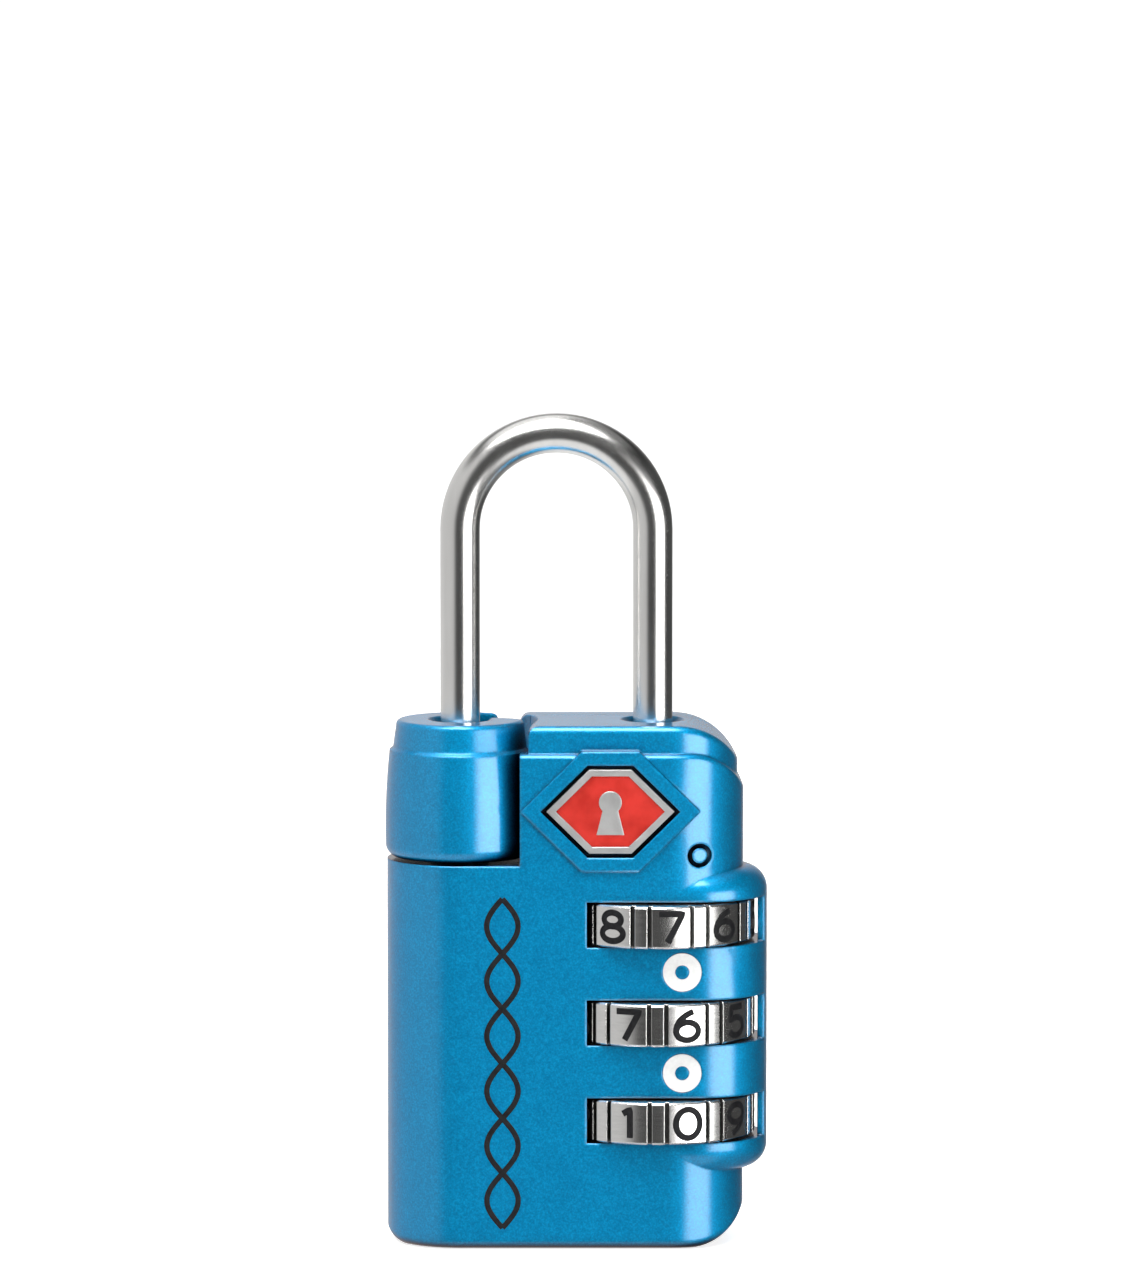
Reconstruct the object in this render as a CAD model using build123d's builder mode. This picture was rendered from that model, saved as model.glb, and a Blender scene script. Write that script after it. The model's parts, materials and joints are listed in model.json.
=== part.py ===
import os
from math import atan, atan2, cos, hypot, pi, radians, sin, tan

from build123d import *

os.makedirs("parts", exist_ok=True)

# Luggage padlock with three dials. X runs left to right, Y runs back, Z runs up.
# The origin is at the middle of the footprint, on the face the lock stands on.

# Body
half_thickness = 6.1
left_axis_x = -9.68
base_right = 13.9
base_edge_radius = 0.7
base_left_rounding = 2.2
base_right_rounding = 4.8
end_overhang = 0.3
body_top = 43.7
shoulder_z = 41.4
shoulder_inset = 0.5
shoulder_rounding = 5.0
top_right_rounding = 5.8
top_overhang = 0.6
shoulder_edge_radius = 0.4
top_edge_radius = 0.6
ledge_z = 32.1
recess_radius = 6.45
recess_front_x = -4.7
recess_upper_x = -4.0
recess_corner_radius = 0.9
split_y = 2.7

# Swelling over the dials
bulge_axis_x = 9.8
bulge_radius = 6.1
bulge_low_z = 6.2
bulge_high_z = 31.55
bulge_rounding = 2.0

# Dials
dial_axis_x = 6.85
dial_pitch = 8.2
dial_low_z = 10.8
dial_heights = [dial_low_z, dial_low_z + dial_pitch, dial_low_z + 2 * dial_pitch]
dial_names = ["bottom", "middle", "top"]
dial_turns = [17.5, 17.0, 7.0]
dial_thickness = 3.5
dial_radius = 8.02
dial_bore_radius = 3.7
dial_notch_radius = 4.15
groove_offset = 0.72
groove_width = 0.38
groove_floor_radius = 7.35
numeral_step = 36

# Windows and chambers for the dials
window_height = 3.8
window_left_x = 0.85
window_post_half_width = 1.7
pocket_radius = 8.4
hub_chamber_radius = 4.7
hub_chamber_depth = 4.15

# Hubs and spindle
hub_barrel_radius = 3.65
hub_flange_radius = 4.4
hub_flange_top = 1.8
hub_flange_bottom = 4.0
spindle_radius = 1.25
spindle_hole_radius = 1.3
spindle_low_z = 5.3
spindle_top_z = 31.4
spindle_head_radius = 1.95
spindle_head_height = 1.0

# Shackle
wire_radius = 1.65
long_leg_x = 6.35
bow_z = 59.6
cap_leg_low_z = 35.6
long_leg_low_z = 33.5
leg_hole_radius = 1.72
leg_hole_low_z = 33.0
groove_z = 36.0
shackle_groove_radius = 1.2
countersink_radius = 2.7
countersink_depth = 0.7

# Cap, with its curved slot
cap_low_z = 32.3
cap_slot_floor_z = 35.2
cap_slot_half_width = 1.8
cap_ratio = 3.0
cap_slot_swing = 27
tenon_size = 3.0
tenon_height = 2.0

# Cam stem under the cap
stem_radius = 2.4
stem_hole_radius = 2.46
stem_low_z = 22.9
stem_chamber_radius = 4.9
stem_chamber_slot = 3.9
stem_chamber_low_z = 22.0
stem_chamber_high_z = 28.6
cam_low_z = 24.7
cam_high_z = 27.1
cam_travel = 1.197
stem_clip_z = 28.0
stem_clip_radius = 3.6
stem_groove_radius = 1.95

# Locking plate
plate_y = 2.0
plate_thickness = 1.2
plate_left_x = -4.9
plate_right_x = -2.6
plate_low_z = 4.2
plate_high_z = 26.9
finger_drop = 2.9
finger_height = 1.6
finger_tip_x = 1.1
follower_x = -6.78
follower_gap = 0.08
plate_spring_z = 5.2
plate_spring_end_x = 2.4

# Key cylinder
cylinder_radius = 4.0
cylinder_hole_radius = 4.05
cylinder_low_z = 0.3
cylinder_high_z = 20.5
plug_radius = 3.1
plug_hole_radius = 3.15
plug_low_z = 0.5
plug_high_z = 19.0
keyway_width = 1.2
keyway_length = 4.4
keyway_depth = 15.5
tail_radius = 1.2
tail_high_z = 22.4

# Reset button
reset_hole_radius = 1.6
reset_button_radius = 1.54
reset_flange_radius = 2.05
reset_chamber_radius = 2.15
reset_chamber_low_z = 2.1
reset_chamber_high_z = 5.2

# Badge
badge_x = 2.8
badge_z = 36.7
badge_half_width = 5.3
badge_half_height = 3.5
badge_flat_half_width = 1.75
badge_border = 0.55
badge_recess_gap = 0.35
badge_recess_depth = 1.0
badge_plateau_height = 0.3
badge_plateau_offset = 1.5

# Index rings beside the windows
ring_x = 8.77
ring_heights = [14.8, 23.25]
ring_outer_radius = 1.6
ring_inner_radius = 0.6
ring_depth = 0.5

# Round groove beside the badge
ring_groove_x = 10.2
ring_groove_z = 32.95
ring_groove_outer = 1.0
ring_groove_inner = 0.62
ring_groove_floor_y = -4.75

# Pins that hold the rear cover: X and Z of each
pin_radius = 0.9
pin_front_y = -3.0
pin_rear_y = 4.9
pin_places = [(-1.5, 2.6), (10.4, 4.0), (-3.5, 30.4), (-1.3, 39.0), (10.4, 38.0)]


def hexagon(grow):
    """Corner points of the badge outline, grown outwards by a distance."""
    slope = atan2(badge_half_height, badge_half_width - badge_flat_half_width)
    half_height = badge_half_height + grow
    half_width = badge_half_width + grow / sin(slope)
    flat = half_width - half_height / tan(slope)
    corners = [(half_width, 0), (flat, half_height), (-flat, half_height)]
    corners += [(-half_width, 0), (-flat, -half_height), (flat, -half_height)]
    return [(badge_x + x, badge_z + z) for x, z in corners]


def front_prism(points, front_y, back_y):
    """Prism from a front outline in X and Z, between two depths."""
    with BuildPart() as prism:
        with BuildSketch(Plane.XZ.offset(-back_y)):
            with BuildLine():
                Polyline(*points, close=True)
            make_face()
        extrude(amount=back_y - front_y)
    return prism.part


def box_between(low, high):
    """Box between two opposite corners."""
    with BuildPart() as block:
        with Locations([tuple((a + b) / 2 for a, b in zip(low, high))]):
            Box(*[b - a for a, b in zip(low, high)])
    return block.part


def corner_cutter(x, front_y, back_y):
    """Cutter that rounds the top corner beside the cap recess, between two depths."""
    radius = recess_corner_radius
    center_z = body_top - radius
    with BuildPart() as cutter:
        with BuildSketch(Plane.XZ.offset(-back_y)):
            with BuildLine():
                CenterArc((x + radius, center_z), radius, 90, 90)
                Line((x, center_z), (x - 1, center_z))
                Line((x - 1, center_z), (x - 1, body_top + 0.1))
                Line((x - 1, body_top + 0.1), (x + radius, body_top + 0.1))
                Line((x + radius, body_top + 0.1), (x + radius, body_top))
            make_face()
        extrude(amount=back_y - front_y)
    return cutter.part


def upright(radius, x, low_z, high_z):
    """Upright cylinder at y = 0 between two heights."""
    with BuildPart() as post:
        with Locations((x, 0, (low_z + high_z) / 2)):
            Cylinder(radius, high_z - low_z)
    return post.part


def loading_slot(radius, half_width, x, low_z, high_z):
    """Round chamber with straight sides from its axis back to the rear cover."""
    with BuildPart() as slot:
        with BuildSketch(Plane.XY.offset(low_z)):
            with Locations((x, 0)):
                Circle(radius)
            with Locations((x, split_y / 2)):
                Rectangle(2 * half_width, split_y)
        extrude(amount=high_z - low_z)
    return slot.part


def retaining_clip(inner, outer, mouth, x, z, thickness):
    """Flat open ring that snaps into a groove."""
    with BuildPart() as ring:
        with BuildSketch(Plane.XY.offset(z - thickness / 2)):
            with Locations((x, 0)):
                Circle(outer)
                Circle(inner, mode=Mode.SUBTRACT)
            with Locations((x, outer / 2)):
                Rectangle(mouth, outer, mode=Mode.SUBTRACT)
        extrude(amount=thickness)
    return ring.part


def coil(radius, wire, pitch, height, place):
    """Round-wire coil spring that stands on a plane."""
    with BuildPart() as upright_spring:
        with BuildLine() as turns:
            Helix(pitch, height, radius)
        with BuildSketch(Plane(origin=turns.line @ 0, z_dir=turns.line % 0)):
            Circle(wire)
        sweep(path=turns.line, is_frenet=True)
    with BuildPart() as spring:
        with Locations(place.location):
            add(upright_spring.part)
    return spring.part


def front_profile(left, right, top, corners):
    """Body outline seen from the front, with some of its corners rounded."""
    with BuildPart() as profile:
        with BuildSketch(Plane.XZ.offset(-half_thickness - 1)) as outline:
            with Locations(((left + right) / 2, top / 2)):
                Rectangle(right - left, top)
            for place, radius in corners:
                fillet(outline.vertices().sort_by_distance(place)[0], radius)
        extrude(amount=2 * half_thickness + 2)
    return profile.part


def rim_edges(form, low_z, high_z):
    """Edges round a form, between two heights, where its sides meet its top or foot."""
    level = form.edges().filter_by(
        lambda e: low_z < e.center().Z < high_z and abs((e % 0.5).Z) < 0.999
    )
    return level - level.filter_by(Axis.Y)


def plan_form(inset, low_z, high_z):
    """Body outline seen from above, round at both ends."""
    radius = half_thickness - inset
    right_axis_x = base_right - half_thickness
    with BuildPart() as form:
        with BuildSketch(Plane.XY.offset(low_z)):
            with Locations((left_axis_x, 0), (right_axis_x, 0)):
                Circle(radius)
            with Locations(((left_axis_x + right_axis_x) / 2, 0)):
                Rectangle(right_axis_x - left_axis_x, 2 * radius)
        extrude(amount=high_z - low_z)
    return form.part


# Outer form of the body
left_end = left_axis_x - half_thickness - end_overhang
right_end = base_right + end_overhang
with BuildPart() as lower_form:
    add(plan_form(0, 0, shoulder_z))
    add(
        front_profile(
            left_end,
            right_end,
            shoulder_z,
            [
                ((right_end, shoulder_z), shoulder_rounding),
                ((right_end, 0), base_right_rounding),
                ((left_end, 0), base_left_rounding),
            ],
        ),
        mode=Mode.INTERSECT,
    )
    fillet(rim_edges(lower_form, body_top - 10, body_top), shoulder_edge_radius)
    fillet(rim_edges(lower_form, -1, 8), base_edge_radius)

upper_right = base_right - shoulder_inset + top_overhang
with BuildPart() as upper_form:
    add(plan_form(shoulder_inset, shoulder_z - 4, body_top))
    add(
        front_profile(
            left_end,
            upper_right,
            body_top,
            [((upper_right, body_top), top_right_rounding)],
        ),
        mode=Mode.INTERSECT,
    )
    fillet(rim_edges(upper_form, shoulder_z - 2, body_top + 1), top_edge_radius)

with BuildPart() as bulge:
    with BuildSketch(Plane.XY.offset(bulge_low_z)):
        with Locations((bulge_axis_x, 0)):
            Circle(bulge_radius)
        with Locations((bulge_axis_x / 2, 0)):
            Rectangle(bulge_axis_x, 2 * half_thickness)
    extrude(amount=bulge_high_z - bulge_low_z)
    fillet(bulge.edges().filter_by(GeomType.CIRCLE), bulge_rounding)

with BuildPart() as outer_form:
    add(lower_form.part)
    add(upper_form.part)
    add(bulge.part)
    add(front_prism(hexagon(badge_plateau_offset), -half_thickness - badge_plateau_height, -5))

# Everything hollow inside the body
with BuildPart() as hollows:
    for z in dial_heights:
        low_z = z - window_height / 2
        high_z = z + window_height / 2
        add(loading_slot(pocket_radius, pocket_radius, dial_axis_x, low_z, high_z))
        add(box_between((window_left_x, -9, low_z), (17, -window_post_half_width, high_z)))
        add(box_between((window_left_x, window_post_half_width, low_z), (17, 9, high_z)))
        add(
            loading_slot(
                hub_chamber_radius,
                hub_chamber_radius,
                dial_axis_x,
                z - hub_chamber_depth,
                low_z + 0.1,
            )
        )
        add(
            box_between(
                (plate_right_x, plate_y - 0.7, z - finger_drop - 1),
                (3, split_y, z - finger_drop + 1),
            )
        )
    spindle_slot_low = reset_chamber_high_z - 0.1
    spindle_head_low = spindle_top_z - spindle_head_height - 0.1
    add(
        loading_slot(
            spindle_hole_radius,
            spindle_hole_radius,
            dial_axis_x,
            spindle_slot_low,
            spindle_top_z,
        )
    )
    add(loading_slot(2.05, 2.05, dial_axis_x, spindle_head_low, spindle_top_z + 0.1))
    add(
        loading_slot(
            reset_chamber_radius,
            reset_chamber_radius,
            dial_axis_x,
            reset_chamber_low_z,
            reset_chamber_high_z,
        )
    )
    add(upright(reset_hole_radius, dial_axis_x, -1, reset_chamber_low_z + 0.1))
    add(upright(leg_hole_radius, long_leg_x, leg_hole_low_z, body_top + 1))
    add(loading_slot(3.1, 3.1, long_leg_x, groove_z - 0.7, groove_z + 0.7))
    add(upright(recess_radius, left_axis_x, ledge_z, body_top + 1))
    add(box_between((-17, -8, ledge_z), (recess_front_x, 8, body_top + 1)))
    add(box_between((-17, -8, shoulder_z), (recess_upper_x, 0, body_top + 1)))
    add(corner_cutter(recess_upper_x, -8, 0))
    add(corner_cutter(recess_front_x, 0, 8))
    add(upright(stem_hole_radius, left_axis_x, stem_chamber_high_z - 0.1, ledge_z + 0.1))
    add(
        loading_slot(
            stem_chamber_radius,
            stem_chamber_slot,
            left_axis_x,
            stem_chamber_low_z,
            stem_chamber_high_z,
        )
    )
    add(upright(tail_radius + 0.1, left_axis_x, cylinder_high_z, stem_chamber_low_z + 0.1))
    add(upright(cylinder_hole_radius, left_axis_x, -1, cylinder_high_z + 0.1))
    add(
        box_between(
            (plate_left_x - 0.1, plate_y - 0.7, plate_low_z - 0.1),
            (plate_right_x + 1.3, split_y, plate_high_z + 0.1),
        )
    )
    add(
        box_between(
            (follower_x - 0.8, plate_y - 0.7, plate_high_z - 2.1),
            (plate_left_x, split_y, plate_high_z + 0.1),
        )
    )
    add(
        box_between(
            (plate_right_x, plate_y - 0.95, plate_spring_z - 0.95),
            (plate_spring_end_x, split_y, plate_spring_z + 0.95),
        )
    )
    add(box_between((-2.45, -2.15, 7.9), (-1.2, split_y, 30.0)))
    add(
        front_prism(
            hexagon(badge_recess_gap),
            -half_thickness - 1,
            badge_recess_depth - half_thickness - badge_plateau_height,
        )
    )
    for z in ring_heights:
        with BuildSketch(Plane.XZ.offset(half_thickness + 1)):
            with Locations((ring_x, z)):
                Circle(ring_outer_radius + 0.02)
                Circle(ring_inner_radius - 0.02, mode=Mode.SUBTRACT)
        extrude(amount=-1 - ring_depth)
    with BuildSketch(Plane.XZ.offset(half_thickness + 1)):
        with Locations((ring_groove_x, ring_groove_z)):
            Circle(ring_groove_outer)
            Circle(ring_groove_inner, mode=Mode.SUBTRACT)
    extrude(amount=-1 - half_thickness - ring_groove_floor_y)
    for x, z in pin_places:
        with BuildSketch(Plane.XZ.offset(-pin_front_y)):
            with Locations((x, z)):
                Circle(pin_radius)
        extrude(amount=-10)
    with Locations((long_leg_x, 0, body_top - countersink_depth / 2 + 0.01)):
        Cone(leg_hole_radius, countersink_radius, countersink_depth)

with BuildPart() as housing:
    add(outer_form.part)
    add(hollows.part, mode=Mode.SUBTRACT)
    add(box_between((-30, split_y, -5), (30, 30, 80)), mode=Mode.SUBTRACT)
housing.part.label = "housing"

with BuildPart() as rear_cover:
    add(outer_form.part)
    add(hollows.part, mode=Mode.SUBTRACT)
    add(box_between((-30, -30, -5), (30, split_y, 80)), mode=Mode.SUBTRACT)
rear_cover.part.label = "rear_cover"

with BuildPart() as cover_pins:
    for x, z in pin_places:
        with BuildSketch(Plane.XZ.offset(-pin_front_y)):
            with Locations((x, z)):
                Circle(pin_radius - 0.01)
        extrude(amount=pin_front_y - pin_rear_y)
cover_pins.part.label = "cover_pins"

# Dials, each with its own hub on the shared spindle
dials = {}
hubs = {}
for name, z, turn in zip(dial_names, dial_heights, dial_turns):
    with BuildPart() as dial:
        with BuildSketch(Plane.XY.offset(z - dial_thickness / 2)):
            with Locations((dial_axis_x, 0)):
                Circle(dial_radius)
        extrude(amount=dial_thickness)
        rims = dial.faces().sort_by(Axis.Z)
        chamfer(rims[0].edges() + rims[-1].edges(), 0.15)
        with BuildSketch(Plane.XY.offset(z - dial_thickness / 2)):
            with Locations((dial_axis_x, 0)):
                Circle(dial_bore_radius)
                with PolarLocations(0, 10, start_angle=turn - 90 + numeral_step / 2):
                    with Locations((groove_floor_radius + 1, groove_offset)):
                        Rectangle(2, groove_width)
                    with Locations((groove_floor_radius + 1, -groove_offset)):
                        Rectangle(2, groove_width)
                with PolarLocations(0, 10, start_angle=turn - 90):
                    with Locations((dial_notch_radius - 0.5, 0)):
                        Rectangle(1, 1)
        extrude(amount=dial_thickness, mode=Mode.SUBTRACT)
    dial.part.label = "dial_" + name
    dials[name] = dial.part

    with BuildPart() as hub:
        add(
            upright(
                hub_flange_radius,
                dial_axis_x,
                z - hub_flange_bottom,
                z - hub_flange_top,
            )
        )
        add(upright(hub_barrel_radius, dial_axis_x, z - hub_flange_top, z + 1.6))
        with BuildSketch(Plane.XY.offset(z - hub_flange_top)):
            with Locations((dial_axis_x, 0)):
                with PolarLocations(0, 1, start_angle=turn - 90):
                    with Locations((dial_notch_radius - 0.55, 0)):
                        Rectangle(1, 0.9)
        extrude(amount=hub_flange_top + 1.6)
        add(
            upright(spindle_hole_radius, dial_axis_x, z - 5, z + 5),
            mode=Mode.SUBTRACT,
        )
        add(
            box_between(
                (0, plate_y - 0.75, z - hub_flange_bottom - 1),
                (4.2, plate_y + 0.75, z - hub_flange_top - 0.2),
            ),
            mode=Mode.SUBTRACT,
        )
    hub.part.label = "hub_" + name
    hubs[name] = hub.part

with BuildPart() as spindle:
    add(upright(spindle_radius, dial_axis_x, spindle_low_z, spindle_top_z - 0.5))
    add(
        upright(
            spindle_head_radius,
            dial_axis_x,
            spindle_top_z - spindle_head_height,
            spindle_top_z,
        )
    )
    chamfer(spindle.edges().sort_by(Axis.Z)[0], 0.2)
spindle.part.label = "spindle"

# Leaf that clicks against the dials
with BuildPart() as click_spring:
    add(box_between((-2.3, -2.0, 8.0), (-2.1, 1.1, 29.8)))
    for z in dial_heights:
        add(upright(0.55, -1.97, z - 1.2, z + 1.2))
        add(box_between((-2.6, -1, z - 2), (-2.3, 1, z + 2)), mode=Mode.SUBTRACT)
click_spring.part.label = "click_spring"

# Shackle and the clip that keeps its long leg in the body
with BuildPart() as shackle:
    with BuildLine(Plane.XZ) as shackle_path:
        Line((left_axis_x, cap_leg_low_z), (left_axis_x, bow_z))
        ThreePointArc(
            (left_axis_x, bow_z),
            ((left_axis_x + long_leg_x) / 2, bow_z + (long_leg_x - left_axis_x) / 2),
            (long_leg_x, bow_z),
        )
        Line((long_leg_x, bow_z), (long_leg_x, long_leg_low_z))
    with BuildSketch(Plane.XY.offset(cap_leg_low_z)):
        with Locations((left_axis_x, 0)):
            Circle(wire_radius)
    sweep(path=shackle_path.wires()[0])
    chamfer(shackle.edges().filter_by(GeomType.CIRCLE).group_by(Axis.Z)[0], 0.4)
    chamfer(
        shackle.edges().filter_by(GeomType.CIRCLE).filter_by_position(
            Axis.Z, cap_leg_low_z - 0.1, cap_leg_low_z + 0.1
        ),
        0.35,
    )
    with BuildSketch(Plane.XY.offset(groove_z - 0.4)):
        with Locations((long_leg_x, 0)):
            Circle(3)
            Circle(shackle_groove_radius, mode=Mode.SUBTRACT)
    extrude(amount=0.8, mode=Mode.SUBTRACT)
shackle.part.label = "shackle"

shackle_clip = retaining_clip(shackle_groove_radius + 0.03, 2.9, 1.9, long_leg_x, groove_z, 0.6)
shackle_clip.label = "shackle_clip"

# Cap over the short leg, with the curved slot that carries the leg out to the back
slot_left = []
slot_right = []
for step in range(10):
    swing = cap_slot_swing * step / 9
    reach = 2 * (long_leg_x - left_axis_x) * sin(radians(swing / 2))
    bearing = radians(90 - (cap_ratio + 0.5) * swing)
    turn = 2 * cap_ratio + 1
    heading = bearing - atan(turn * tan(radians(swing / 2)))
    x = left_axis_x + reach * cos(bearing)
    y = reach * sin(bearing)
    across = (-sin(heading) * cap_slot_half_width, cos(heading) * cap_slot_half_width)
    slot_left.append((x + across[0], y + across[1]))
    slot_right.append((x - across[0], y - across[1]))

with BuildPart() as cap_blank:
    with BuildSketch(Plane.XZ):
        with BuildLine():
            Polyline((0, body_top), (0, cap_low_z), (5.5, cap_low_z))
            RadiusArc((5.5, cap_low_z), (6.22, cap_low_z + 0.9), -1.1)
            Spline((6.22, cap_low_z + 0.9), (6.2, 37.0), (5.9, 41.2))
            Line((5.9, 41.2), (5.6, shoulder_z + 0.05))
            Line((5.6, shoulder_z + 0.05), (5.35, 43.3))
            RadiusArc((5.35, 43.3), (4.95, body_top), -0.4)
            Line((4.95, body_top), (0, body_top))
        make_face()
    revolve(axis=Axis.Z)

with BuildPart() as cap:
    with Locations((left_axis_x, 0, 0)):
        add(cap_blank.part)
    with BuildSketch(Plane.XY.offset(cap_slot_floor_z)):
        with BuildLine():
            Spline(*slot_left)
            Line(slot_left[-1], slot_right[-1])
            Spline(*slot_right[::-1])
            Line(slot_right[0], slot_left[0])
        make_face()
        with Locations((left_axis_x, 0)):
            Circle(cap_slot_half_width)
    extrude(amount=body_top, mode=Mode.SUBTRACT)
    with Locations((left_axis_x, 0, body_top - countersink_depth / 2 + 0.01)):
        Cone(
            cap_slot_half_width,
            countersink_radius,
            countersink_depth,
            mode=Mode.SUBTRACT,
        )
    with Locations((left_axis_x, 0, cap_low_z + tenon_height / 2)):
        Box(
            tenon_size + 0.1,
            tenon_size + 0.1,
            tenon_height + 0.1,
            mode=Mode.SUBTRACT,
        )
cap.part.label = "cap"

# Stem that the cap turns: tenon, round shaft, clip groove and cam
cam_points = []
for step in range(13):
    turned = pi * step / 12
    follower_reach = follower_x - left_axis_x + cam_travel * step / 12
    rim = hypot(follower_reach, plate_y) - plate_thickness / 2 - follower_gap
    angle = atan2(plate_y, follower_reach) - turned
    cam_points.append((left_axis_x + rim * cos(angle), rim * sin(angle)))
low_rim = hypot(follower_x - left_axis_x, plate_y) - plate_thickness / 2 - follower_gap
high_rim = hypot(follower_x - left_axis_x + cam_travel, plate_y) - plate_thickness / 2 - follower_gap
for step in range(1, 8):
    share = step / 8
    rim = high_rim + (low_rim - high_rim) * share
    start = atan2(plate_y, follower_x - left_axis_x + cam_travel) - pi
    finish = atan2(plate_y, follower_x - left_axis_x) - 2 * pi
    angle = start + (finish - start) * share
    cam_points.append((left_axis_x + rim * cos(angle), rim * sin(angle)))

with BuildPart() as cap_stem:
    add(upright(stem_radius, left_axis_x, stem_low_z, cap_low_z - 0.05))
    with Locations((left_axis_x, 0, cap_low_z - 0.05 + tenon_height / 2)):
        Box(tenon_size, tenon_size, tenon_height)
    with BuildSketch(Plane.XY.offset(cam_low_z)):
        with BuildLine():
            Spline(*cam_points, periodic=True)
        make_face()
    extrude(amount=cam_high_z - cam_low_z)
    with BuildSketch(Plane.XY.offset(stem_clip_z - 0.35)):
        with Locations((left_axis_x, 0)):
            Circle(stem_radius + 0.5)
            Circle(stem_groove_radius, mode=Mode.SUBTRACT)
    extrude(amount=0.7, mode=Mode.SUBTRACT)
cap_stem.part.label = "cap_stem"

stem_clip = retaining_clip(
    stem_groove_radius + 0.03, stem_clip_radius, 3.2, left_axis_x, stem_clip_z, 0.6
)
stem_clip.label = "stem_clip"

# Locking plate with one finger per dial and an arm that follows the cam
with BuildPart() as locking_plate:
    plate_front = plate_y - plate_thickness / 2
    plate_back = plate_y + plate_thickness / 2
    add(
        box_between(
            (plate_left_x, plate_front, plate_low_z),
            (plate_right_x, plate_back, plate_high_z),
        )
    )
    for z in dial_heights:
        finger_z = z - finger_drop
        add(
            box_between(
                (plate_right_x - 0.5, plate_front, finger_z - finger_height / 2),
                (finger_tip_x, plate_back, finger_z + finger_height / 2),
            )
        )
    add(
        box_between(
            (follower_x, plate_front, plate_high_z - 2),
            (plate_left_x + 0.5, plate_back, plate_high_z),
        )
    )
    with Locations((follower_x, plate_y, plate_high_z - 1)):
        Cylinder(plate_thickness / 2, 2)
locking_plate.part.label = "locking_plate"

plate_spring_length = plate_spring_end_x - plate_right_x - 0.3
plate_spring = coil(
    0.6,
    0.14,
    (plate_spring_length - 0.3) / 6,
    plate_spring_length - 0.3,
    Plane(
        origin=(plate_right_x + 0.2, plate_y, plate_spring_z),
        x_dir=(0, 1, 0),
        z_dir=(1, 0, 0),
    ),
)
plate_spring.label = "plate_spring"

# Key cylinder in the foot of the body
with BuildPart() as key_cylinder:
    add(upright(cylinder_radius, left_axis_x, cylinder_low_z, cylinder_high_z))
    add(
        upright(plug_hole_radius, left_axis_x, cylinder_low_z - 1, plug_high_z + 0.05),
        mode=Mode.SUBTRACT,
    )
    add(
        upright(tail_radius + 0.05, left_axis_x, plug_high_z, cylinder_high_z + 1),
        mode=Mode.SUBTRACT,
    )
key_cylinder.part.label = "key_cylinder"

with BuildPart() as key_plug:
    add(upright(plug_radius, left_axis_x, plug_low_z, plug_high_z))
    add(upright(tail_radius, left_axis_x, plug_high_z - 0.5, tail_high_z))
    keyway_top = plug_low_z + keyway_depth
    with Locations((left_axis_x, 0, keyway_top / 2)):
        Box(keyway_width, keyway_length, keyway_top, mode=Mode.SUBTRACT)
    with Locations((left_axis_x + keyway_width / 2, -0.7, keyway_top / 2)):
        Box(0.7, 0.8, keyway_top, mode=Mode.SUBTRACT)
    with Locations((left_axis_x - keyway_width / 2, 0.9, keyway_top / 2)):
        Box(0.7, 0.8, keyway_top, mode=Mode.SUBTRACT)
key_plug.part.label = "key_plug"

# Button in the foot that frees the dials for a new code
with BuildPart() as reset_button:
    add(upright(reset_button_radius, dial_axis_x, 0.4, 2.4))
    chamfer(reset_button.edges().sort_by(Axis.Z)[0], 0.2)
    add(upright(reset_flange_radius, dial_axis_x, reset_chamber_low_z + 0.05, 2.85))
    add(upright(0.75, dial_axis_x, 2.8, 3.6))
reset_button.part.label = "reset_button"

reset_spring = coil(
    1.35, 0.18, 0.62, 1.86, Plane(origin=(dial_axis_x, 0, reset_chamber_low_z + 1.0))
)
reset_spring.label = "reset_spring"

# Enamel badge: bright frame, red field and a plain keyhole
badge_front_y = -half_thickness - badge_plateau_height + 0.15
badge_back_y = badge_recess_depth - half_thickness - badge_plateau_height
with BuildPart() as badge_frame:
    add(front_prism(hexagon(0), badge_front_y, badge_back_y))
    add(
        front_prism(hexagon(-badge_border), badge_front_y - 1, badge_back_y - 0.3),
        mode=Mode.SUBTRACT,
    )
badge_frame.part.label = "badge_frame"

with BuildPart() as badge_keyhole:
    with BuildSketch(Plane.XZ.offset(-badge_back_y + 0.3)):
        with Locations((badge_x, badge_z + 0.75)):
            Circle(0.95)
        with Locations((badge_x, badge_z - 0.75)):
            Trapezoid(2.3, 2.4, 76)
    extrude(amount=badge_back_y - 0.3 - badge_front_y - 0.05)
badge_keyhole.part.label = "badge_keyhole"

with BuildPart() as badge_enamel:
    add(front_prism(hexagon(-badge_border - 0.01), badge_front_y + 0.1, badge_back_y - 0.3))
    add(badge_keyhole.part, mode=Mode.SUBTRACT)
badge_enamel.part.label = "badge_enamel"

with BuildPart() as index_rings:
    for z in ring_heights:
        with BuildSketch(Plane.XZ.offset(half_thickness + 0.04)):
            with Locations((ring_x, z)):
                Circle(ring_outer_radius)
                Circle(ring_inner_radius, mode=Mode.SUBTRACT)
        extrude(amount=-ring_depth)
index_rings.part.label = "index_rings"

parts = [housing.part, rear_cover.part, cover_pins.part, cap.part, cap_stem.part]
parts += [stem_clip, shackle.part, shackle_clip, spindle.part, click_spring.part]
parts += [locking_plate.part, plate_spring, key_cylinder.part, key_plug.part]
parts += [reset_button.part, reset_spring, badge_frame.part, badge_enamel.part]
parts += [badge_keyhole.part, index_rings.part]
parts += list(dials.values()) + list(hubs.values())
for piece in parts:
    export_step(piece, "parts/" + piece.label + ".step")
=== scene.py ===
import json
from math import ceil, cos, hypot, pi, radians, sin

import bmesh
import bpy
from mathutils import Matrix, Vector


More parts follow.
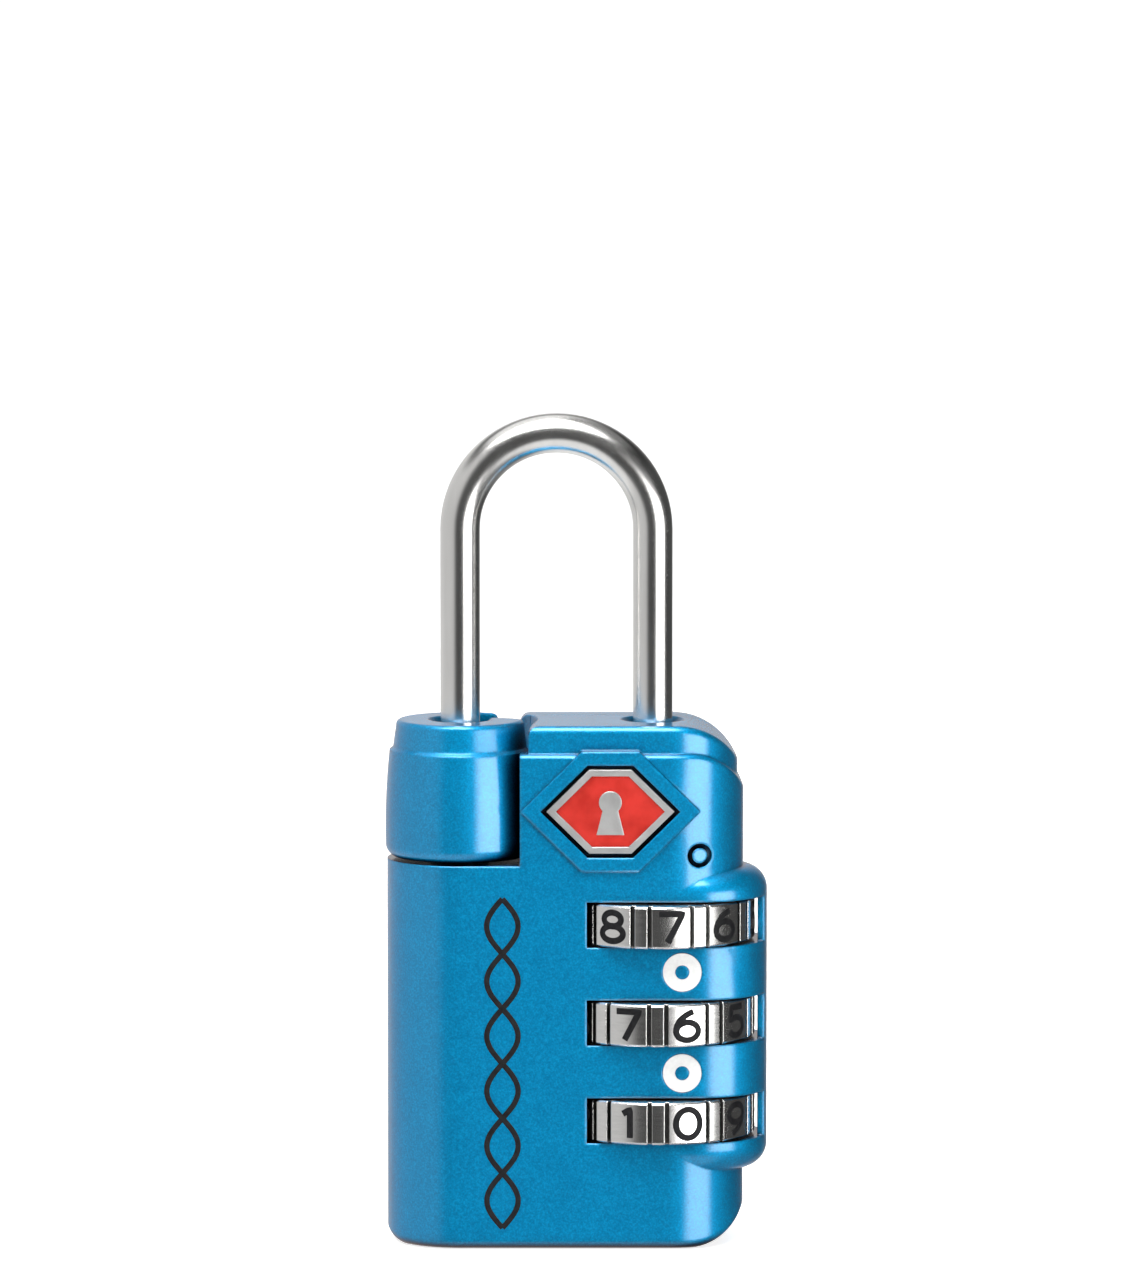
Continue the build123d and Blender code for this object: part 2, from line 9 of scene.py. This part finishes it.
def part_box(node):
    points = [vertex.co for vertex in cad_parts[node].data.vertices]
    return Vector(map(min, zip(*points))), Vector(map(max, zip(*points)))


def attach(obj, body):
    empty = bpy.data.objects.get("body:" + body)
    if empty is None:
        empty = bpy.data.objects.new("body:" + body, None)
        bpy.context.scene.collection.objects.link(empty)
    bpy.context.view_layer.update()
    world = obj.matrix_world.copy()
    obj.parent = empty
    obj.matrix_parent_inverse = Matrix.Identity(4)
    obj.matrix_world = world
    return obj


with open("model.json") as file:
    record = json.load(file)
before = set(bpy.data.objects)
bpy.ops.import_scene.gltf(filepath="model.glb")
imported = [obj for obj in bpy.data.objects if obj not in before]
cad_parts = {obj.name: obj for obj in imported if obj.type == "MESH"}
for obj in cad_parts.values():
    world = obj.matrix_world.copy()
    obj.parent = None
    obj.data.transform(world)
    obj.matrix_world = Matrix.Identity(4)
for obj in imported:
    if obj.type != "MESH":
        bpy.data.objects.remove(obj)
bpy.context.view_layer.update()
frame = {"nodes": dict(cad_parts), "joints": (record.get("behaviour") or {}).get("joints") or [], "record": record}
nodes = frame["nodes"]
joint_places = {joint["child"]: joint["pos_m"] for joint in frame["joints"] if "pos_m" in joint}
MM = 0.001
scene = bpy.context.scene
scene.view_settings.view_transform = "Standard"


# ---------------------------------------------------------------- node helpers
class Shader:
    """Small helper that builds a node material."""

    def __init__(self, name, **sockets):
        self.material = bpy.data.materials.new(name)
        self.material.use_nodes = True
        self.tree = self.material.node_tree
        self.bsdf = self.tree.nodes["Principled BSDF"]
        for socket, value in sockets.items():
            self.bsdf.inputs[socket.replace("_", " ")].default_value = value

    def node(self, kind, inputs=None, **settings):
        made = self.tree.nodes.new(kind)
        for key, value in settings.items():
            setattr(made, key, value)
        for key, value in (inputs or {}).items():
            if isinstance(value, bpy.types.NodeSocket):
                self.tree.links.new(value, made.inputs[key])
            else:
                made.inputs[key].default_value = value
        return made

    def place(self):
        return self.node("ShaderNodeTexCoord").outputs["Object"]

    def noise(self, scale, detail=2.0, rough=0.5, stretch=None):
        vector = self.place()
        if stretch:
            vector = self.node(
                "ShaderNodeMapping", {"Vector": vector, "Scale": stretch}
            ).outputs[0]
        made = self.node(
            "ShaderNodeTexNoise",
            {"Vector": vector, "Scale": scale, "Detail": detail, "Roughness": rough},
        )
        return made.outputs["Fac"]

    def ramp(self, factor, stops):
        made = self.node("ShaderNodeValToRGB", {"Fac": factor})
        while len(made.color_ramp.elements) < len(stops):
            made.color_ramp.elements.new(0.5)
        for element, (position, color) in zip(made.color_ramp.elements, stops):
            element.position = position
            element.color = color if len(color) == 4 else (*color, 1)
        return made.outputs["Color"]

    def span(self, factor, low, high):
        made = self.node(
            "ShaderNodeMapRange", {"Value": factor, "To Min": low, "To Max": high}
        )
        return made.outputs["Result"]

    def painted_gap_shade(self, reach, color, low, high):
        """Painted shade: the given color in gaps and corners by ambient occlusion, white on open surfaces."""
        near = self.node("ShaderNodeAmbientOcclusion", {"Distance": reach}, samples=8)
        return self.ramp(near.outputs["AO"], [(low, color), (high, (1, 1, 1))])

    def multiply(self, first, second):
        made = self.node("ShaderNodeMix", data_type="RGBA", blend_type="MULTIPLY")
        made.inputs["Factor"].default_value = 1.0
        self.tree.links.new(first, made.inputs[6])
        self.tree.links.new(second, made.inputs[7])
        return made.outputs[2]

    def bump(self, height, strength, distance, normal=None):
        made = self.node(
            "ShaderNodeBump",
            {"Height": height, "Strength": strength, "Distance": distance},
        )
        if normal:
            self.tree.links.new(normal, made.inputs["Normal"])
        self.set("Normal", made.outputs["Normal"])

    def set(self, socket, output):
        self.tree.links.new(output, self.bsdf.inputs[socket])


def grey(value):
    return (value, value, value, 1)


# ------------------------------------------------------------------- materials
def blue_paint():
    """Metallic paint under a clear coat, with painted shade darkening its gaps."""
    shader = Shader(
        "blue_paint",
        Metallic=0.85,
        Specular_IOR_Level=0.1,
        Specular_Tint=(1.0, 0.34, 0.26, 1),
        Coat_Weight=1.0,
        Coat_Roughness=0.15,
        Coat_IOR=1.56,
    )
    flake = shader.noise(6500, 1.0)
    cloud = shader.noise(420, 3.0)
    base = shader.ramp(
        flake,
        [
            (0.28, (0.0, 0.235, 0.49)),
            (0.52, (0.0, 0.305, 0.605)),
            (0.74, (0.002, 0.395, 0.725)),
        ],
    )
    tint = shader.ramp(cloud, [(0.35, (0.93, 0.94, 0.95)), (0.65, (1.0, 1.0, 1.0))])
    # Painted shade: ambient occlusion darkens the paint's base colour in gaps and corners
    shade = shader.painted_gap_shade(2.0 * MM, (0.015, 0.022, 0.04), 0.30, 0.80)
    shader.set("Base Color", shader.multiply(shader.multiply(base, tint), shade))
    shader.set("Roughness", shader.span(flake, 0.50, 0.60))
    soft_edges = shader.node("ShaderNodeBevel", {"Radius": 0.30 * MM}, samples=6)
    shader.bump(flake, 0.10, 0.03 * MM, soft_edges.outputs["Normal"])
    shader.set("Coat Normal", soft_edges.outputs["Normal"])
    return shader.material


def polished(name, color, rough_low, rough_high, brushed=None, bevel=0.12, reach=0.6):
    """Bright metal with painted shade in its gaps; the grain stretches along one axis where it is brushed."""
    shader = Shader(name, Metallic=1.0)
    grain = shader.noise(700, 4.0, 0.6, brushed)
    tone = shader.ramp(grain, [(0.3, tuple(0.90 * c for c in color)), (0.7, color)])
    # Painted shade: ambient occlusion darkens the metal's colour in gaps and corners
    shade = shader.painted_gap_shade(reach * MM, (0.10, 0.10, 0.10), 0.30, 0.80)
    shader.set("Base Color", shader.multiply(tone, shade))
    shader.set("Roughness", shader.span(grain, rough_low, rough_high))
    soft_edges = shader.node("ShaderNodeBevel", {"Radius": bevel * MM}, samples=4)
    shader.bump(grain, 0.06, 0.02 * MM, soft_edges.outputs["Normal"])
    return shader.material


def enamel():
    """Glossy red enamel."""
    shader = Shader("badge_enamel", Roughness=0.12, Coat_Weight=1.0, Coat_Roughness=0.04)
    cloud = shader.noise(500, 3.0)
    base = shader.ramp(
        cloud, [(0.35, (0.36, 0.018, 0.012)), (0.65, (0.50, 0.03, 0.022))]
    )
    shader.set("Base Color", base)
    shader.bump(cloud, 0.15, 0.05 * MM)
    return shader.material


def ink(name, low, high, rough, shine=0.5):
    """Plain surface between two tones: printing ink or plastic."""
    shader = Shader(name, Specular_IOR_Level=shine)
    grain = shader.noise(2600, 3.0)
    shader.set("Base Color", shader.ramp(grain, [(0.3, low), (0.7, high)]))
    shader.set("Roughness", shader.span(grain, rough, rough + 0.15))
    shader.bump(grain, 0.1, 0.01 * MM)
    return shader.material


looks = {
    "blue_paint": blue_paint(),
    "chrome_steel": polished("chrome_steel", (0.94, 0.93, 0.91), 0.20, 0.27, (1, 1, 0.12)),
    "dial_metal": polished("dial_metal", (0.94, 0.93, 0.91), 0.18, 0.27, (1, 1, 9)),
    "inner_steel": polished("inner_steel", (0.50, 0.51, 0.53), 0.25, 0.42, (1, 1, 9)),
    "spring_steel": polished("spring_steel", (0.34, 0.35, 0.37), 0.2, 0.35),
    "brass": polished("brass", (0.66, 0.47, 0.20), 0.2, 0.38, (1, 1, 6)),
    "pin_steel": polished("pin_steel", (0.42, 0.43, 0.45), 0.25, 0.4),
    "badge_metal": polished("badge_metal", (0.88, 0.88, 0.87), 0.40, 0.55),
    "badge_enamel": enamel(),
    "white_ink": ink("white_ink", (0.68, 0.68, 0.67), (0.76, 0.76, 0.75), 0.35),
    "black_ink": ink("black_ink", (0.004, 0.004, 0.005), (0.012, 0.012, 0.013), 0.5, 0.2),
    "hub_zinc": polished("hub_zinc", (0.52, 0.53, 0.54), 0.35, 0.5),
    "button_plastic": ink("button_plastic", (0.012, 0.012, 0.013), (0.03, 0.03, 0.032), 0.45),
}
for part in frame["record"]["subparts"]:
    node = nodes[part["node"]]
    node.data.materials.clear()
    node.data.materials.append(looks[part["material_slot"]])


# ------------------------------------------------------------- printed details
def strokes_piece(name, strokes, radius, depth, look, body, place, wrap=None):
    """Printed strokes of one thickness, flat or wrapped round a cylinder of radius wrap."""
    curve = bpy.data.curves.new(name, "CURVE")
    curve.dimensions = "3D"
    curve.bevel_depth = radius
    curve.bevel_resolution = 3
    curve.use_fill_caps = True
    for corners, closed in strokes:
        points = corners if closed else divided(corners)
        line = curve.splines.new("POLY")
        line.points.add(len(points) - 1)
        for point, (x, z) in zip(line.points, points):
            point.co = (x, 0, z, 1)
        line.use_cyclic_u = closed
    shape = bpy.data.objects.new(name + "_curve", curve)
    scene.collection.objects.link(shape)
    bpy.context.view_layer.update()
    mesh = bpy.data.meshes.new_from_object(shape)
    bpy.data.objects.remove(shape)
    mesh.transform(Matrix.Diagonal((1, depth / radius, 1, 1)))
    if wrap:
        for vertex in mesh.vertices:
            x, y, z = vertex.co
            vertex.co = ((wrap - y) * sin(x / wrap), wrap - (wrap - y) * cos(x / wrap), z)
    mesh.transform(place)
    for face in mesh.polygons:
        face.use_smooth = True
    piece = bpy.data.objects.new(name, mesh)
    mesh.name = name
    scene.collection.objects.link(piece)
    mesh.materials.append(looks[look])
    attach(piece, body)
    return piece


def divided(corners, step=0.15 * MM):
    """The same line with points no further apart than the step."""
    points = [corners[0]]
    for (x0, z0), (x1, z1) in zip(corners, corners[1:]):
        parts = max(1, ceil(hypot(x1 - x0, z1 - z0) / step))
        for i in range(1, parts + 1):
            points.append((x0 + (x1 - x0) * i / parts, z0 + (z1 - z0) * i / parts))
    return points


def arc(cx, cz, rx, rz, start, end, count=20):
    angles = [radians(start + (end - start) * i / count) for i in range(count + 1)]
    return [(cx + rx * cos(a), cz + rz * sin(a)) for a in angles]


def loop(cx, cz, rx, rz, count=32):
    return arc(cx, cz, rx, rz, 0, 360 - 360 / count, count - 1)


def curl():
    """Tail of a 6, from the left of its bowl up to its tip."""
    start, bend, tip = (-0.78, -0.45), (-0.72, 0.75), (0.42, 1.26)
    points = []
    for i in range(13):
        t = i / 12
        x = (1 - t) ** 2 * start[0] + 2 * t * (1 - t) * bend[0] + t * t * tip[0]
        z = (1 - t) ** 2 * start[1] + 2 * t * (1 - t) * bend[1] + t * t * tip[1]
        points.append((x, z))
    return points


# Centre lines of the numerals, about 2.5 units high; each is closed (True) or open
numerals = {
    0: [(loop(0, 0, 0.84, 1.27), True)],
    1: [([(-0.4, 0.86), (0.1, 1.26), (0.1, -1.27)], False)],
    2: [(arc(0, 0.52, 0.74, 0.74, 165, -38) + [(-0.76, -1.26), (0.78, -1.26)], False)],
    3: [
        (arc(-0.04, 0.62, 0.68, 0.64, 155, -90), False),
        (arc(-0.04, -0.6, 0.78, 0.66, 90, -155), False),
    ],
    4: [([(0.36, -1.27), (0.36, 1.26), (-0.84, -0.5), (0.84, -0.5)], False)],
    5: [([(0.66, 1.26), (-0.5, 1.26), (-0.6, 0.16)] + arc(0, -0.46, 0.78, 0.8, 128, -150), False)],
    6: [(loop(0, -0.48, 0.78, 0.79), True), (curl(), False)],
    7: [([(-0.8, 1.26), (0.8, 1.26), (-0.22, -1.27)], False)],
    8: [(loop(0, 0.65, 0.64, 0.61), True), (loop(0, -0.6, 0.78, 0.67), True)],
    9: [
        ([(-x, -z) for x, z in loop(0, -0.48, 0.78, 0.79)], True),
        ([(-x, -z) for x, z in curl()], False),
    ],
}

numeral_x_scale = 1.24 * MM
numeral_z_scale = 0.94 * MM
numeral_stroke_radius = 0.28 * MM
numeral_depth = 0.03 * MM
numeral_step = 36
# The angle of each dial's first numeral from the front, in degrees, and that numeral
first_numerals = {"dial_top": (7.0, 7), "dial_middle": (17.0, 6), "dial_bottom": (17.5, 0)}
for dial, (turn, first) in first_numerals.items():
    axis = Vector(joint_places[dial])
    dial_radius = (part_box(dial)[1].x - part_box(dial)[0].x) / 2
    for step in range(10):
        angle = radians(turn - 90 + numeral_step * step)
        out = Vector((cos(angle), sin(angle), 0))
        middle = axis + out * dial_radius
        place = Matrix(
            (
                (-sin(angle), -out.x, 0, middle.x),
                (cos(angle), -out.y, 0, middle.y),
                (0, 0, 1, middle.z),
                (0, 0, 0, 1),
            )
        )
        digit = (first - step) % 10
        strokes = []
        for line, closed in numerals[digit]:
            points = [(x * numeral_x_scale, z * numeral_z_scale) for x, z in line]
            strokes.append((points, closed))
        strokes_piece(
            f"numeral_{dial[5:]}_{digit}",
            strokes,
            numeral_stroke_radius,
            numeral_depth,
            "black_ink",
            dial,
            place,
            dial_radius,
        )

# Plain printed ornament down the front: two lines that cross
ring_standout = 0.04 * MM
front_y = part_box("index_rings")[0].y + ring_standout
ornament_x = -6.15
ornament_half_width = 1.3
ornament_low_z = 1.8
ornament_height = 27.6
ornament_stroke_radius = 0.24 * MM
ornament_depth = 0.02 * MM
waves = []
for side in (-1, 1):
    wave = []
    for i in range(145):
        rise = i / 144
        x = ornament_x + side * ornament_half_width * sin(6 * pi * rise)
        wave.append((x * MM, (ornament_low_z + ornament_height * rise) * MM))
    waves.append((wave, False))
strokes_piece(
    "side_ornament",
    waves,
    ornament_stroke_radius,
    ornament_depth,
    "black_ink",
    "body",
    Matrix.Translation((0, front_y, 0)),
)

# ------------------------------------------------------------------ the studio
floor_mesh = bpy.data.meshes.new("floor")
floor_z = -0.1 * MM
floor_half = 6
corner_signs = [(-1, -1), (1, -1), (1, 1), (-1, 1)]
floor_corners = [(x * floor_half, y * floor_half, floor_z) for x, y in corner_signs]
floor_mesh.from_pydata(floor_corners, [], [(0, 1, 2, 3)])
floor = bpy.data.objects.new("floor", floor_mesh)
scene.collection.objects.link(floor)
paper = Shader("floor_paper", Roughness=0.9, Emission_Strength=0.82)
paper_tone = paper.ramp(paper.noise(40, 3.0), [(0.3, grey(0.80)), (0.7, grey(0.82))])
paper.set("Base Color", paper_tone)
paper.bsdf.inputs["Emission Color"].default_value = grey(1.0)
floor_mesh.materials.append(paper.material)
floor.visible_glossy = False

# Soft light all round: a bright panel at the front right, a broad panel over the front, a wide
# fill on the left and behind, and dark cards in front and on the far right
dome_radius = 0.5
dome_middle = Vector((0, 0, 35 * MM))
dome_mesh = bpy.data.meshes.new("light_dome")
sphere = bmesh.new()
bmesh.ops.create_uvsphere(sphere, u_segments=96, v_segments=48, radius=dome_radius)
bmesh.ops.translate(sphere, verts=sphere.verts, vec=dome_middle)
sphere.to_mesh(dome_mesh)
sphere.free()
dome = bpy.data.objects.new("light_dome", dome_mesh)
scene.collection.objects.link(dome)
dome.visible_camera = False
dome.visible_shadow = False


def ramp_node(tree, factor, stops, low, high):
    """Grey levels by angle; the stops, low and high are in degrees."""
    share = tree.nodes.new("ShaderNodeMapRange")
    share.inputs["From Min"].default_value = radians(low)
    share.inputs["From Max"].default_value = radians(high)
    tree.links.new(factor, share.inputs["Value"])
    ramp = tree.nodes.new("ShaderNodeValToRGB")
    tree.links.new(share.outputs["Result"], ramp.inputs["Fac"])
    while len(ramp.color_ramp.elements) < len(stops):
        ramp.color_ramp.elements.new(0.5)
    for element, (angle, value) in zip(ramp.color_ramp.elements, stops):
        element.position = (angle - low) / (high - low)
        element.color = grey(value)
    return ramp.outputs["Color"]


def math_node(tree, operation, *values):
    made = tree.nodes.new("ShaderNodeMath")
    made.operation = operation
    for socket, value in zip(made.inputs, values):
        if isinstance(value, bpy.types.NodeSocket):
            tree.links.new(value, socket)
        else:
            socket.default_value = value
    return made.outputs[0]


dome_look = bpy.data.materials.new("light_dome")
dome_look.use_nodes = True
tree = dome_look.node_tree
tree.nodes.clear()
spot = tree.nodes.new("ShaderNodeSeparateXYZ")
tree.links.new(tree.nodes.new("ShaderNodeNewGeometry").outputs["Position"], spot.inputs[0])
front = math_node(tree, "MULTIPLY", spot.outputs["Y"], -1.0)
azimuth = math_node(tree, "ARCTAN2", spot.outputs["X"], front)
height = math_node(tree, "SUBTRACT", spot.outputs["Z"], dome_middle.z)
elevation = math_node(tree, "ARCSINE", math_node(tree, "DIVIDE", height, dome_radius))
# Each panel: its strength, its levels by azimuth (0 is the front) and its levels by elevation
dim_right = [(-180, 1), (30, 1), (60, 0.22), (140, 0.22), (180, 1)]
panels = [
    (
        0.95,
        [
            (-180, 0.75),
            (-147, 0.70),
            (-100, 0.60),
            (-60, 0.60),
            (-40, 0.56),
            (-24, 0.06),
            (90, 0.05),
            (140, 0.06),
            (162, 0.40),
            (180, 0.75),
        ],
        [(-34, 0), (-24, 1), (30, 1), (42, 0)],
    ),
    (6.2, [(20, 0), (31, 1), (60, 1), (70, 0)], [(-19, 0), (-12, 1), (5, 1), (14, 0)]),
    (10.5, [(-65, 0), (-38, 1), (18, 1), (38, 0)], [(42, 0), (50, 1), (80, 1), (90, 0)]),
    (0.9, dim_right, [(44, 0), (54, 1)]),
    (0.85, dim_right, [(-34, 1), (-24, 0)]),
]
level = 0.0
for strength, azimuths, elevations in panels:
    around = ramp_node(tree, azimuth, azimuths, -180, 180)
    upward = ramp_node(tree, elevation, elevations, -90, 90)
    pattern = math_node(tree, "MULTIPLY", around, upward)
    panel = math_node(tree, "MULTIPLY", pattern, strength)
    level = math_node(tree, "ADD", panel, level)
glow = tree.nodes.new("ShaderNodeEmission")
tree.links.new(level, glow.inputs["Strength"])
tree.links.new(glow.outputs[0], tree.nodes.new("ShaderNodeOutputMaterial").inputs["Surface"])
dome_mesh.materials.append(dome_look)

world = bpy.data.worlds.new("studio")
scene.world = world
world.use_nodes = True
background = world.node_tree.nodes["Background"]
background.inputs["Color"].default_value = grey(0.9)
background.inputs["Strength"].default_value = 0.3

# ------------------------------------------------------------------ the camera
camera = bpy.data.cameras.new("camera")
camera.lens = 303
camera.sensor_width = 36
camera.clip_start = 0.05
camera.clip_end = 20
view = bpy.data.objects.new("camera", camera)
scene.collection.objects.link(view)
camera_distance = 0.9
camera_rise = radians(6.4)
aim = Vector((-1.205 * MM, 0, 50.1 * MM))
back = Vector((0, -cos(camera_rise), sin(camera_rise)))
view.location = aim + back * camera_distance
view.rotation_euler = (-back).to_track_quat("-Z", "Y").to_euler()
scene.camera = view
